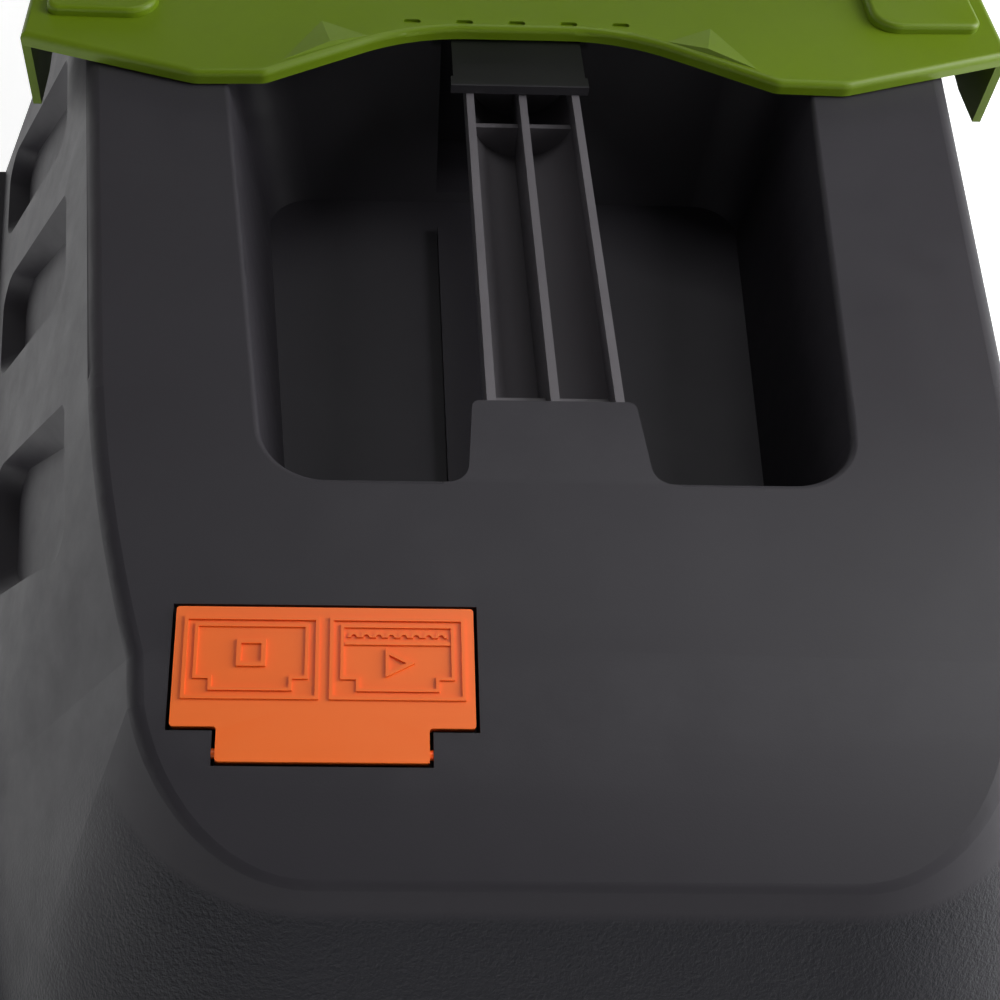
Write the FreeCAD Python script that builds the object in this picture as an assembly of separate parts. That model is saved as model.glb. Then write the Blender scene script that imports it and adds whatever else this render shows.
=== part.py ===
"""Cordless lawn mower with a rigid rear grass box, as an assembly of separate pieces.

Millimetres. +X is the machine's right, +Y is forward, +Z is up, and the ground is z = 0.
The shapes are designed about the carry handle of the grass box (y = 0 at the handle's rear end).
The last step moves every piece so that the origin is the bottom centre of the whole machine.
"""
import FreeCAD
import Part
import math
import os
from FreeCAD import Matrix, Placement, Rotation, Vector

# ---- driving dimensions -------------------------------------------------------------------------
CLEAR = 0.3                  # gap between pieces of different bodies
RUN = 0.06                   # radial running clearance of a shaft in its bore

# grass box
BOX_TOP_Z = 348.0            # flat top of the box
BOX_SEAM_Z = BOX_TOP_Z - 108  # joint between the two shells
BOX_FLOOR_Z = BOX_TOP_Z - 264
BOX_MOUTH_Y = 212.0
BOX_WALL = 3.0
# plan outlines at three heights, each as (half width, y, corner radius) from the rear corner forward
TOP_PLAN = [(87.1, -106.5, 42.0), (115.3, -38.0, 315.0), (147.6, BOX_MOUTH_Y, 0.0)]
SEAM_PLAN = [(128.0, -206.0, 80.0), (166.0, -46.0, 315.0), (198.0, BOX_MOUTH_Y, 0.0)]
FLOOR_PLAN = [(92.0, -160.0, 58.0), (108.0, -40.0, 315.0), (128.0, BOX_MOUTH_Y, 0.0)]
CROWN_R = 385.0              # side-view radius where the top rolls down to the rear
CREASE_R = 5.0               # rounding along the edge of the top face
SEAM_FLANGE = 1.5
SEAM_FLANGE_H = 5.0
GRIP_HALF = 60.0             # moulded grip low on the box's rear
GRIP_REAR_Y = -134.0

# hand recess in the box and its carry handle
RECESS_DEPTH = 57.0
RECESS_REAR_Y = -30.0
RECESS_FRONT_Y = 182.0
RECESS_HALF_REAR = 75.0
RECESS_HALF_FRONT = 101.0
RECESS_R = 18.0
RECESS_FLOOR_REAR_Y = -21.0
RECESS_FLOOR_FRONT_Y = 143.0
RECESS_FLOOR_HALF_REAR = 69.0
RECESS_FLOOR_HALF_FRONT = 83.0
RECESS_FLOOR_R = 14.0
RIM_R = 1.6                  # rounded rim of the recess
TONGUE_HALF = 21.3           # shell tongues that hold the carry handle
TONGUE_ROOT_HALF = 23.4
TONGUE_REAR_Y = -3.0
TONGUE_FRONT_Y = 132.0
TONGUE_T = 3.0
PLINTH_HALF = 23.5
PLINTH_H = 3.0
HANDLE_REAR_Y = -17.5
HANDLE_X = 1.1                # the grip sits a little off centre
HANDLE_HALF = 18.2
HANDLE_DEPTH = 21.0
HANDLE_RIB = 2.4

# side pockets, as (rear y, front y) along their top edge
SIDE_POCKETS = [(-37.0, 15.0), (57.0, 104.0), (129.0, 176.0)]
POCKET_TOP_DROP = 22.0       # below the top face
POCKET_LOW_DROP = 94.0
POCKET_SLANT = 38.0          # how far the lower edge sits forward of the upper one
POCKET_DEPTH = 7.0

# fill indicator
IND_X = -58.2
IND_Y = -82.8                # middle of the indicator
IND_HALF_W = 34.7
IND_NECK_HALF = 24.1
IND_BODY_L = 28.8
IND_NECK_L = 8.0
IND_T = 2.6
IND_GAP = 0.9
IND_TILT = 12.7
IND_WELL = 9.0

# rear flap
FLAP_TOP_Z = BOX_TOP_Z + 5
FLAP_T = 2.8
FLAP_HALF = 161.0
FLAP_RIM = 4.5
FLAP_SKIRT = 27.0            # depth of the side skirt at its rear end, and at its front end
FLAP_SKIRT_FRONT = 17.0
HINGE_Y = BOX_MOUTH_Y + 24
HINGE_Z = FLAP_TOP_Z - 5.5
HINGE_R = 3.0
KNUCKLE_R = 5.4
EAR_IN = 121.5               # inner and outer hinge ears of the rear plate, and the knuckles between them
EAR_OUT = 151.0
EAR_T = 5.0

# deck, chamber and rear plate
PLATE_Y = BOX_MOUTH_Y + 4     # rear plate that the box butts against
PLATE_T = 6.0
PLATE_TOP_Z = BOX_TOP_Z - 4
HOOK_Z = BOX_TOP_Z - 9.6               # underside of the box's two tongues
DECK_REAR_Y = PLATE_Y + PLATE_T + 2
DECK_FRONT_Y = 668.0
DECK_BOTTOM_Z = 34.0
DECK_TOP_Z = 172.0
DECK_WALL = 4.0
DECK_HALF_REAR = 160.0
DECK_HALF_MID = 186.0
DECK_HALF_NOSE = 150.0
DECK_ROUND = 14.0
BLADE_Y = 455.0
CHAMBER_R = 174.0
CHAMBER_WALL = 3.0
CHUTE_HALF = 118.0
CHUTE_LOW_Z = BOX_TOP_Z - 198
CHUTE_HIGH_Z = BOX_TOP_Z - 36
CHUTE_WALL = 2.5

# hood
HOOD_WALL = 3.0
HOOD_TOP_Z = BOX_TOP_Z - 10
HOOD_HALF_LOW = 145.0
HOOD_HALF_HIGH = 112.0
HOOD_FRONT_Y = 632.0
HOOD_CREASE_R = 9.0

# drive
MOTOR_R = 48.0
MOTOR_H = 56.0
SHAFT_R = 6.0
BEARING_R = 14.0
BLADE_Z = 56.0
BLADE_R = 165.0
BLADE_W = 44.0
BLADE_T = 3.0

# battery, key and electronics
PACK_Y = 352.0
PACK_HALF_W = 42.0
PACK_L = 118.0
PACK_H = 66.0
PACK_PROUD = 16.0
BAY_TILT = -13.0
BAY_WALL = 2.5

# wheels
REAR_WHEEL_R = 88.0
REAR_WHEEL_W = 38.0
REAR_AXLE_Y = 250.0
FRONT_WHEEL_R = 72.0
FRONT_WHEEL_W = 34.0
FRONT_AXLE_Y = 645.0
AXLE_R = 5.0
WHEEL_GAP = 10.0
TYRE_T = 9.0

# push handle
TUBE_R = 11.0
TUBE_WALL = 1.4
LOWER_X = 190.0
UPPER_X = 167.0
HANDLE_ROOT = (360.0, 232.0)  # y and z of the lower tube's foot
HANDLE_ANGLE = 50.0
LOWER_LEN = 360.0
UPPER_LEN = 560.0
FOLD_BACK = 20.0             # pivot's distance from the lower tube's end
TUBE_BEND_R = 62.0
BOLT_R = 4.0
BAIL_R = 4.0
BAIL_X = 148.0
BAIL_ALONG = 445.0           # bail pivot's distance from the fold pivot, along the upper tube
BAIL_REACH = 98.0
BAIL_ANGLE = 32.0
CABLE_R = 3.5


# ---- helpers ------------------------------------------------------------------------------------
def box(x0, x1, y0, y1, z0, z1):
    return Part.makeBox(x1 - x0, y1 - y0, z1 - z0, Vector(x0, y0, z0))


def rod(start, end, radius):
    a, b = Vector(*start), Vector(*end)
    return Part.makeCylinder(radius, (b - a).Length, a, b - a)


def tube(start, end, outer, inner):
    return rod(start, end, outer).cut(rod(start, end, inner))


def fuse(first, *others):
    return first.multiFuse(list(others)).removeSplitter()


def mirror_x(shape):
    return shape.mirror(Vector(0, 0, 0), Vector(1, 0, 0))


def both_sides(shape):
    return Part.makeCompound([shape, mirror_x(shape)])


def prism_x(points_yz, x0, x1):
    """A solid with this side-view outline, from x0 to x1."""
    wire = Part.makePolygon([Vector(x0, y, z) for y, z in points_yz + points_yz[:1]])
    return Part.Face(wire).extrude(Vector(x1 - x0, 0, 0))


def prism_z(points_xy, z0, z1):
    wire = Part.makePolygon([Vector(x, y, z0) for x, y in points_xy + points_xy[:1]])
    return Part.Face(wire).extrude(Vector(0, 0, z1 - z0))


def rounded_wire(corners, z):
    """A closed wire through (x, y, radius) corners, each rounded by a tangent arc or left sharp."""
    points = [Vector(x, y, z) for x, y, _ in corners]
    count = len(points)
    edges, last_end, first_start = [], None, None
    for i, corner in enumerate(points):
        to_prev = (points[i - 1] - corner).normalize()
        to_next = (points[(i + 1) % count] - corner).normalize()
        half = to_prev.getAngle(to_next) / 2
        radius = corners[i][2]
        cut = radius / math.tan(half)
        start, end = corner + to_prev * cut, corner + to_next * cut
        bisector = (to_prev + to_next).normalize()
        middle = corner + bisector * (radius / math.sin(half) - radius)
        if last_end is not None:
            edges.append(Part.LineSegment(last_end, start).toShape())
        else:
            first_start = start
        if radius > 0:
            edges.append(Part.Arc(start, middle, end).toShape())
        last_end = end
    edges.append(Part.LineSegment(last_end, first_start).toShape())
    return Part.Wire(edges)


def trapezoid(half_front, half_rear, front_y, rear_y, front_r, rear_r, z):
    """A plan outline, symmetric about x = 0, with rounded corners."""
    return rounded_wire([(-half_rear, rear_y, rear_r), (half_rear, rear_y, rear_r),
                         (half_front, front_y, front_r), (-half_front, front_y, front_r)], z)


def loft(*wires):
    return Part.makeLoft(list(wires), True, True)


def fillet_where(shape, radius, wanted):
    """Rounds the edges that the test picks, with a smaller radius where the full one can't be built."""
    edges = [e for e in shape.Edges if wanted(e)]
    return shape.makeFillet(radius, edges) if edges else shape


def mid(edge):
    return edge.valueAt((edge.FirstParameter + edge.LastParameter) / 2)


def round_bar(points, radius, bend):
    """A round bar along straight runs joined by tangent arcs."""
    runs = [Vector(*p) for p in points]
    edges, here = [], runs[0]
    for i in range(1, len(runs) - 1):
        back = (runs[i - 1] - runs[i]).normalize()
        ahead = (runs[i + 1] - runs[i]).normalize()
        half = back.getAngle(ahead) / 2
        bend_r = bend if not isinstance(bend, (list, tuple)) else bend[i - 1]
        cut = bend_r / math.tan(half)
        start, end = runs[i] + back * cut, runs[i] + ahead * cut
        bisector = (back + ahead).normalize()
        middle = runs[i] + bisector * (bend_r / math.sin(half) - bend_r)
        edges += [Part.LineSegment(here, start).toShape(), Part.Arc(start, middle, end).toShape()]
        here = end
    edges.append(Part.LineSegment(here, runs[-1]).toShape())
    path = Part.Wire(edges)
    direction = (runs[1] - runs[0]).normalize()
    profile = Part.Wire(Part.Circle(runs[0], direction, radius).toShape())
    return path.makePipeShell([profile], True, False)


def along_handle(distance, x, drop=0.0):
    """A point on the push handle's line, measured from its root, drop mm below the line."""
    a = math.radians(HANDLE_ANGLE)
    y = HANDLE_ROOT[0] - distance * math.cos(a) - drop * math.sin(a)
    z = HANDLE_ROOT[1] + distance * math.sin(a) - drop * math.cos(a)
    return (x, y, z)


# ---- grass box ----------------------------------------------------------------------------------
def crown(offset):
    """Side-view slab under the box's rolled top face, offset inwards."""
    top, radius = BOX_TOP_Z - offset, CROWN_R - offset
    low = BOX_SEAM_Z - 40
    rear_y = -230.0
    rear_z = top - radius + math.sqrt(radius ** 2 - rear_y ** 2)
    half_y = rear_y / 2
    half_z = top - radius + math.sqrt(radius ** 2 - half_y ** 2)
    edges = [Part.Arc(Vector(-300, rear_y, rear_z), Vector(-300, half_y, half_z),
                      Vector(-300, 0, top)).toShape(),
             Part.makePolygon([Vector(-300, 0, top), Vector(-300, 260, top), Vector(-300, 260, low),
                               Vector(-300, rear_y, low), Vector(-300, rear_y, rear_z)])]
    return Part.Face(Part.Wire(edges)).extrude(Vector(600, 0, 0))


def on_crown(point, offset):
    """True for a point on the top face, or with an offset on the inside of it."""
    radius = CROWN_R - offset
    z = BOX_TOP_Z - offset
    if point.y < 0:
        z -= radius - math.sqrt(radius ** 2 - point.y ** 2)
    return abs(point.z - z) < 0.3


def plan_wire(plan, inset, front_extra, z):
    """A box outline, symmetric about x = 0, set in by inset all round but open at the mouth."""
    corners = []
    for half, y, radius in plan:
        front = y == BOX_MOUTH_Y
        corners.append((half - inset, y + (front_extra if front else (inset if y == plan[0][1] else 0)),
                        max(radius - inset, 0) if radius else 0))
    right = corners
    left = [(-x, y, r) for x, y, r in reversed(right)]
    return rounded_wire(right + left, z)


def plan_at(z):
    """The upper shell's outline at a height, on the straight lines between its seam and its top."""
    t = (z - BOX_SEAM_Z) / (BOX_TOP_Z - BOX_SEAM_Z)
    return [(a[0] + (b[0] - a[0]) * t, a[1] + (b[1] - a[1]) * t, a[2] + (b[2] - a[2]) * t)
            for a, b in zip(SEAM_PLAN, TOP_PLAN)]


def top_body(offset, front_extra=0.0):
    """The upper shell's outer form, or with an offset the space inside it."""
    high = BOX_TOP_Z + 6
    body = loft(plan_wire(SEAM_PLAN, offset, front_extra, BOX_SEAM_Z),
                plan_wire(plan_at(high), offset, front_extra, high)).common(crown(offset))
    front = BOX_MOUTH_Y + front_extra - 1
    return fillet_where(body, CREASE_R - offset, lambda e: on_crown(mid(e), offset) and mid(e).y < front
                        and abs(mid(e).y) > 0.5)


def recess_body(grow):
    """The hand recess, or with grow the outside of its tub."""
    floor_z = BOX_TOP_Z - RECESS_DEPTH - grow
    high = BOX_TOP_Z + 8
    low = trapezoid(RECESS_FLOOR_HALF_FRONT + grow, RECESS_FLOOR_HALF_REAR + grow,
                    RECESS_FLOOR_FRONT_Y + grow, RECESS_FLOOR_REAR_Y - grow,
                    RECESS_FLOOR_R + grow, RECESS_FLOOR_R + grow, floor_z)
    up = trapezoid(RECESS_HALF_FRONT + grow, RECESS_HALF_REAR + grow, RECESS_FRONT_Y + grow,
                   RECESS_REAR_Y - grow, RECESS_R + grow, RECESS_R + grow, high)
    return loft(low, up)


def side_pockets(grow):
    """Slanted pockets in the left wall, with sloping sides, laid out in the wall's own plane."""
    taper = (TOP_PLAN[2][0] - TOP_PLAN[1][0]) / (TOP_PLAN[2][1] - TOP_PLAN[1][1])
    flare = (SEAM_PLAN[2][0] - TOP_PLAN[2][0]) / (BOX_TOP_Z - BOX_SEAM_Z)
    ahead = Vector(-taper, 1, 0).normalize()
    out = Vector(-1, -taper, flare).normalize()
    up = out.cross(ahead) * -1
    slope = math.sqrt(1 + flare ** 2)
    solids = []
    for rear_y, front_y in SIDE_POCKETS:
        here = Vector(-(TOP_PLAN[2][0] - taper * (BOX_MOUTH_Y - rear_y)), rear_y, BOX_TOP_Z)
        place = Placement(here, Rotation(ahead, up, out if ahead.cross(up).dot(out) > 0 else out * -1))
        outward = 1 if ahead.cross(up).dot(out) > 0 else -1
        top_d, low_d = -POCKET_TOP_DROP * slope, -POCKET_LOW_DROP * slope
        length, slant = front_y - rear_y, POCKET_SLANT
        wires = []
        for depth in (-6.0, POCKET_DEPTH + grow):
            high, low = top_d - 1.6 * depth + grow * 2.4, low_d + 0.5 * depth - grow * 1.5
            rear, front = 0.7 * depth - grow * 2, length - 0.3 * depth + grow * 1.5
            corners = [(rear, high, 9 + grow), (front, high, 5 + grow), (front + slant, low, 9 + grow),
                       (rear + slant, low, 14 + grow)]
            wire = rounded_wire(corners, 0)
            wire.Placement = place.multiply(Placement(Vector(0, 0, -outward * depth), Rotation()))
            wires.append(wire)
        solids.append(loft(*wires))
    return solids


def indicator_place():
    """The indicator's own frame: its middle on the rolled top face, tilted with it."""
    z = BOX_TOP_Z - CROWN_R + math.sqrt(CROWN_R ** 2 - IND_Y ** 2)
    return Placement(Vector(IND_X, IND_Y, z + 0.2), Rotation(Vector(1, 0, 0), IND_TILT))


def tee_outline(grow):
    """The indicator's outline seen square on: a wide body and a narrower hinge neck to the rear."""
    front, shoulder = IND_BODY_L / 2 + IND_NECK_L / 2, IND_NECK_L / 2 - IND_BODY_L / 2
    rear = shoulder - IND_NECK_L
    return [(-IND_HALF_W - grow, front + grow), (-IND_HALF_W - grow, shoulder - grow),
            (-IND_NECK_HALF - grow, shoulder - grow), (-IND_NECK_HALF - grow, rear - grow),
            (IND_NECK_HALF + grow, rear - grow), (IND_NECK_HALF + grow, shoulder - grow),
            (IND_HALF_W + grow, shoulder - grow), (IND_HALF_W + grow, front + grow)]


def placed(shape, placement):
    moved = shape.copy()
    moved.Placement = placement.multiply(moved.Placement)
    return moved


def indicator_hinge():
    """Local y and z of the indicator's hinge pins."""
    shoulder = IND_NECK_L / 2 - IND_BODY_L / 2
    return shoulder - IND_NECK_L + 2.2, -IND_T / 2 - 0.6


def seam_band(low, high):
    """The solid inside the flanges of both shells, between two heights."""
    wires = [plan_wire(SEAM_PLAN, -SEAM_FLANGE, 0, z) for z in (low, high)]
    return loft(*wires)


def rear_tongue():
    """The tongue over the grip's rear end, with rounded roots and corners."""
    root, tip = RECESS_REAR_Y + 0.6, TONGUE_REAR_Y
    wide = TONGUE_ROOT_HALF + 6.2
    right = [(wide, root - 9, 0), (wide, root, 0), (TONGUE_ROOT_HALF, root, 5.5), (TONGUE_HALF, tip, 2.2)]
    outline = rounded_wire(right + [(-x, y, r) for x, y, r in reversed(right)], BOX_TOP_Z - TONGUE_T)
    return Part.Face(outline).extrude(Vector(0, 0, 20)).common(crown(0))


def box_top_shell():
    inner = top_body(BOX_WALL, 10)
    left, left_grown = side_pockets(0), side_pockets(BOX_WALL)
    recess = recess_body(0)
    outer = top_body(0).cut(left + [mirror_x(s) for s in left]).cut(recess)
    outer = fillet_where(outer, RIM_R, lambda e: on_crown(mid(e), 0) and abs(mid(e).x) < RECESS_HALF_FRONT
                         and RECESS_REAR_Y - 2 < mid(e).y < RECESS_FRONT_Y + 2 and abs(mid(e).y) > 0.5)
    slot_z = BOX_TOP_Z - RECESS_DEPTH + PLINTH_H
    slot_y = RECESS_FLOOR_FRONT_Y - 16
    plinth = box(-PLINTH_HALF, PLINTH_HALF, RECESS_FLOOR_REAR_Y - 1, slot_y,
                 BOX_TOP_Z - RECESS_DEPTH - 1, slot_z)
    lip = box(-TONGUE_HALF, TONGUE_HALF, TONGUE_FRONT_Y, RECESS_FRONT_Y + 6, BOX_TOP_Z - TONGUE_T, BOX_TOP_Z)
    hooks = [box(s * TONGUE_HALF - 0.8, s * TONGUE_HALF + 0.8, TONGUE_FRONT_Y, TONGUE_FRONT_Y + 5,
                 BOX_TOP_Z - 8, BOX_TOP_Z) for s in (-1, 1)]
    outer = fuse(outer, rear_tongue(), lip, plinth, *hooks)

    inner = inner.cut(left_grown + [mirror_x(s) for s in left_grown])
    slot_case = box(-PLINTH_HALF - BOX_WALL, PLINTH_HALF + BOX_WALL, slot_y + 6, RECESS_FRONT_Y - 8 + BOX_WALL,
                    BOX_TOP_Z - RECESS_DEPTH - BOX_WALL, BOX_TOP_Z)
    well_case = placed(prism_z(tee_outline(IND_GAP + 2), -IND_WELL - 2, 6), indicator_place())
    inner = inner.cut([recess_body(BOX_WALL), slot_case, well_case])
    shell = outer.cut(inner)
    shell = shell.cut(box(-PLINTH_HALF, PLINTH_HALF, slot_y, RECESS_FRONT_Y - 8, slot_z, BOX_TOP_Z - TONGUE_T))
    flange = seam_band(BOX_SEAM_Z, BOX_SEAM_Z + SEAM_FLANGE_H).cut(top_body(0.5, 10))
    shell = fuse(shell, flange)

    shell = shell.cut(placed(prism_z(tee_outline(IND_GAP), -IND_WELL, 20), indicator_place()))
    front = IND_BODY_L / 2 + IND_NECK_L / 2
    holes = []
    for i in range(8):
        x = (i - 3.5) * 7.8
        arch = fuse(box(x - 2.6, x + 2.6, front - 12, front - 6, -IND_WELL - 4, -IND_WELL + 1),
                    rod((x, front - 6, -IND_WELL - 4), (x, front - 6, -IND_WELL + 1), 2.6))
        holes.append(placed(arch, indicator_place()))
    hinge_y, hinge_z = indicator_hinge()
    for s in (-1, 1):
        socket = rod((s * (IND_NECK_HALF + 0.2), hinge_y, hinge_z),
                     (s * (IND_NECK_HALF + IND_GAP + 1.6), hinge_y, hinge_z), 1.3)
        holes.append(placed(socket, indicator_place()))
    return shell.cut(holes)


def fill_indicator():
    """The orange plate: raised frames on its face, and two hinge pins at its rear corners."""
    plate = prism_z(tee_outline(0), -IND_T, 0)
    plate = fillet_where(plate, 0.8, lambda e: abs(e.tangentAt(e.FirstParameter).z) > 0.99)
    hinge_y, hinge_z = indicator_hinge()
    pins = [rod((s * (IND_NECK_HALF - 5), hinge_y, hinge_z), (s * (IND_NECK_HALF + IND_GAP + 1.2), hinge_y, hinge_z),
                1.2) for s in (-1, 1)]
    lugs = [box(s * IND_NECK_HALF - 5 * (s > 0), s * IND_NECK_HALF + 5 * (s < 0), hinge_y - 2.0, hinge_y + 2.4,
                hinge_z - 2.0, -1) for s in (-1, 1)]
    stops = [box(s * 20 - 1.0, s * 20 + 1.0, -4, 6, -IND_T - 3.0, -IND_T + 0.2) for s in (-1, 1)]
    plate = fuse(plate, *pins, *lugs, *stops)
    for centre in (-16.9, 16.9):
        plate = fuse(plate, *indicator_panel(centre))
    return placed(plate, indicator_place())


def frame_line(points, height, width=0.7):
    """A raised line along a closed outline on the indicator's face."""
    outline = Part.makePolygon([Vector(x, y, -0.2) for x, y in points + points[:1]])
    outer = Part.Face(outline)
    inner = Part.Face(outline.makeOffset2D(-width, 2))
    return outer.cut(inner).extrude(Vector(0, 0, height + 0.2))


def indicator_panel(centre):
    """One raised picture: a frame, the plate's own outline, and a generic sign inside it."""
    def rect(half_w, y0, y1):
        return [(centre - half_w, y0), (centre + half_w, y0), (centre + half_w, y1), (centre - half_w, y1)]

    def tee(half_w, neck, y0, y_shoulder, y1):
        return [(centre - half_w, y1), (centre - half_w, y_shoulder), (centre - neck, y_shoulder),
                (centre - neck, y0), (centre + neck, y0), (centre + neck, y_shoulder),
                (centre + half_w, y_shoulder), (centre + half_w, y1)]

    pieces = [frame_line(rect(15.7, -4.0, 16.0), 0.55, 0.9), frame_line(tee(13.2, 9.6, -2.0, 0.8, 14.2), 0.5, 0.8)]
    if centre < 0:
        pieces.append(frame_line([(centre - 3.4, 3.8), (centre + 3.4, 3.8), (centre + 3.4, 10.4),
                                  (centre - 3.4, 10.4)], 0.6, 1.1))
    else:
        pieces.append(box(centre - 12.2, centre + 12.2, 9.2, 10.0, -0.2, 0.5))
        pieces.append(frame_line([(centre - 2.8, 1.4), (centre + 4.0, 4.8), (centre - 2.8, 8.2)], 0.6, 0.9))
        for i in range(8):
            x = centre + (i - 3.5) * 2.9
            arch = tube((x, 11.0, -0.2), (x, 11.0, 0.5), 1.4, 0.7)
            pieces.append(arch.cut(box(x - 2, x + 2, 9.0, 11.0, -1, 1)))
    return pieces


def box_bottom_shell():
    t = BOX_WALL
    outer = loft(plan_wire(FLOOR_PLAN, 0, 0, BOX_FLOOR_Z), plan_wire(SEAM_PLAN, 0, 0, BOX_SEAM_Z))
    outer = fillet_where(outer, 14.0, lambda e: mid(e).z < BOX_FLOOR_Z + 1 and mid(e).y < BOX_MOUTH_Y - 1)
    inner = loft(plan_wire(FLOOR_PLAN, t, 10, BOX_FLOOR_Z + t), plan_wire(SEAM_PLAN, t, 10, BOX_SEAM_Z + 0.01))
    inner = fillet_where(inner, 11.0, lambda e: mid(e).z < BOX_FLOOR_Z + t + 1 and mid(e).y < BOX_MOUTH_Y + 9)
    band = seam_band(BOX_SEAM_Z - SEAM_FLANGE_H, BOX_SEAM_Z)
    shell = fuse(outer.cut(inner), band.cut(inner).cut(outer))
    slots = [box(-85, 85, -240, -140, z, z + 6) for z in (150, 170, 190, 210)]
    keep = [box(x - 3, x + 3, -240, -140, 140, 220) for x in (-44, 0, 44)]
    shell = shell.cut(slots[0].multiFuse(slots[1:]).cut(keep))
    grip_wall = box(-GRIP_HALF - t, GRIP_HALF + t, -200, GRIP_REAR_Y + t, 103, 137)
    shell = fuse(shell, grip_wall.common(outer))
    return shell.cut(box(-GRIP_HALF, GRIP_HALF, -240, GRIP_REAR_Y, 106, 134))


def carry_handle():
    """The ribbed grip under the two tongues: a round-bottomed channel with a middle rib."""
    top = BOX_TOP_Z - TONGUE_T - 0.05
    y0, y1 = HANDLE_REAR_Y, TONGUE_FRONT_Y + 26
    low = top - HANDLE_DEPTH

    def channel(inset, y_start, y_end, z_top):
        w, bottom = HANDLE_HALF - inset, low + inset
        r = w * 0.72
        wire = [Part.makePolygon([Vector(w, y_start, bottom + r), Vector(w, y_start, z_top),
                                  Vector(-w, y_start, z_top), Vector(-w, y_start, bottom + r)]),
                Part.Arc(Vector(-w, y_start, bottom + r), Vector(0, y_start, bottom),
                         Vector(w, y_start, bottom + r)).toShape()]
        return Part.Face(Part.Wire(wire)).extrude(Vector(0, y_end - y_start, 0))

    bar = channel(0, y0, y1, top).cut(channel(HANDLE_RIB, y0 + 12, y1 - 12, top + 1))
    rib = channel(HANDLE_RIB - 0.5, y0 + 10, y1 - 10, top - 0.6).common(
        box(-HANDLE_RIB / 2, HANDLE_RIB / 2, y0, y1, low, top))
    webs = [channel(HANDLE_RIB - 0.5, y, y + 2.0, top - 7).common(box(-30, 30, y, y + 2, low, top))
            for y in (TONGUE_FRONT_Y - 8, TONGUE_REAR_Y + 8)]
    bar = fuse(bar, rib, *webs)
    holes = [rod((x, y, low - 1), (x, y, top + 1), 1.9) for x in (-9, 9) for y in (y0 + 6, y1 - 6)]
    bar = bar.cut(holes)
    bar.translate(Vector(HANDLE_X, 0, 0))
    return bar


def handle_screws():
    """Four self-tapping screws up through the grip's ends into the tongues' bosses."""
    low = BOX_TOP_Z - TONGUE_T - HANDLE_DEPTH
    y0, y1 = HANDLE_REAR_Y, TONGUE_FRONT_Y + 26
    screws = []
    for x in (HANDLE_X - 9, HANDLE_X + 9):
        for y in (y0 + 6, y1 - 6):
            seat = low + 3.0
            screws.append(fuse(rod((x, y, seat - 6), (x, y, BOX_TOP_Z - TONGUE_T - 0.2), 1.8),
                               rod((x, y, seat - 6.5), (x, y, seat - 3.4), 3.4)))
    return Part.makeCompound(screws)


def box_hooks():
    """Two tongues under the box's mouth that lie in notches in the rear plate's top edge."""
    tongues = []
    for x in (-80, 80):
        root = prism_x([(BOX_MOUTH_Y - 26, BOX_TOP_Z - BOX_WALL - 0.05), (BOX_MOUTH_Y - 26, BOX_TOP_Z - 6),
                        (BOX_MOUTH_Y - 8, BOX_TOP_Z - 14), (PLATE_Y - 2, BOX_TOP_Z - 14),
                        (PLATE_Y - 2, BOX_TOP_Z - BOX_WALL - 0.05)], x - 9, x + 9)
        tip = box(x - 9, x + 9, PLATE_Y - 3, PLATE_Y + PLATE_T + 2, HOOK_Z, BOX_TOP_Z - BOX_WALL - 0.05)
        tongues.append(fuse(root, tip))
    return Part.makeCompound(tongues)


# ---- rear flap ----------------------------------------------------------------------------------
def flap_slab(inset, z0, z1):
    """The flap in plan: a shallow bay in the middle of its rear edge and a lobe on each side."""
    rear = [(34.5, 156.5, 70), (81.5, 130, 6), (104, 129.3, 8), (FLAP_HALF, 148, 0)]
    right = [(x - (inset if x >= FLAP_HALF else 0), y + inset, r) for x, y, r in rear]
    right.append((FLAP_HALF - inset, HINGE_Y - 9, 0))
    outline = rounded_wire(right + [(-x, y, r) for x, y, r in reversed(right)], z0)
    return Part.Face(outline).extrude(Vector(0, 0, z1 - z0))


def flap_skirt():
    """The right side skirt, deeper at the rear than at the front so that it clears the flaring box."""
    front = HINGE_Y - 9
    side = [(148, FLAP_TOP_Z), (148, FLAP_TOP_Z - FLAP_SKIRT), (166, FLAP_TOP_Z - FLAP_SKIRT),
            (front, FLAP_TOP_Z - FLAP_SKIRT_FRONT), (front, FLAP_TOP_Z)]
    return prism_x(side, FLAP_HALF - FLAP_T, FLAP_HALF)


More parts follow.
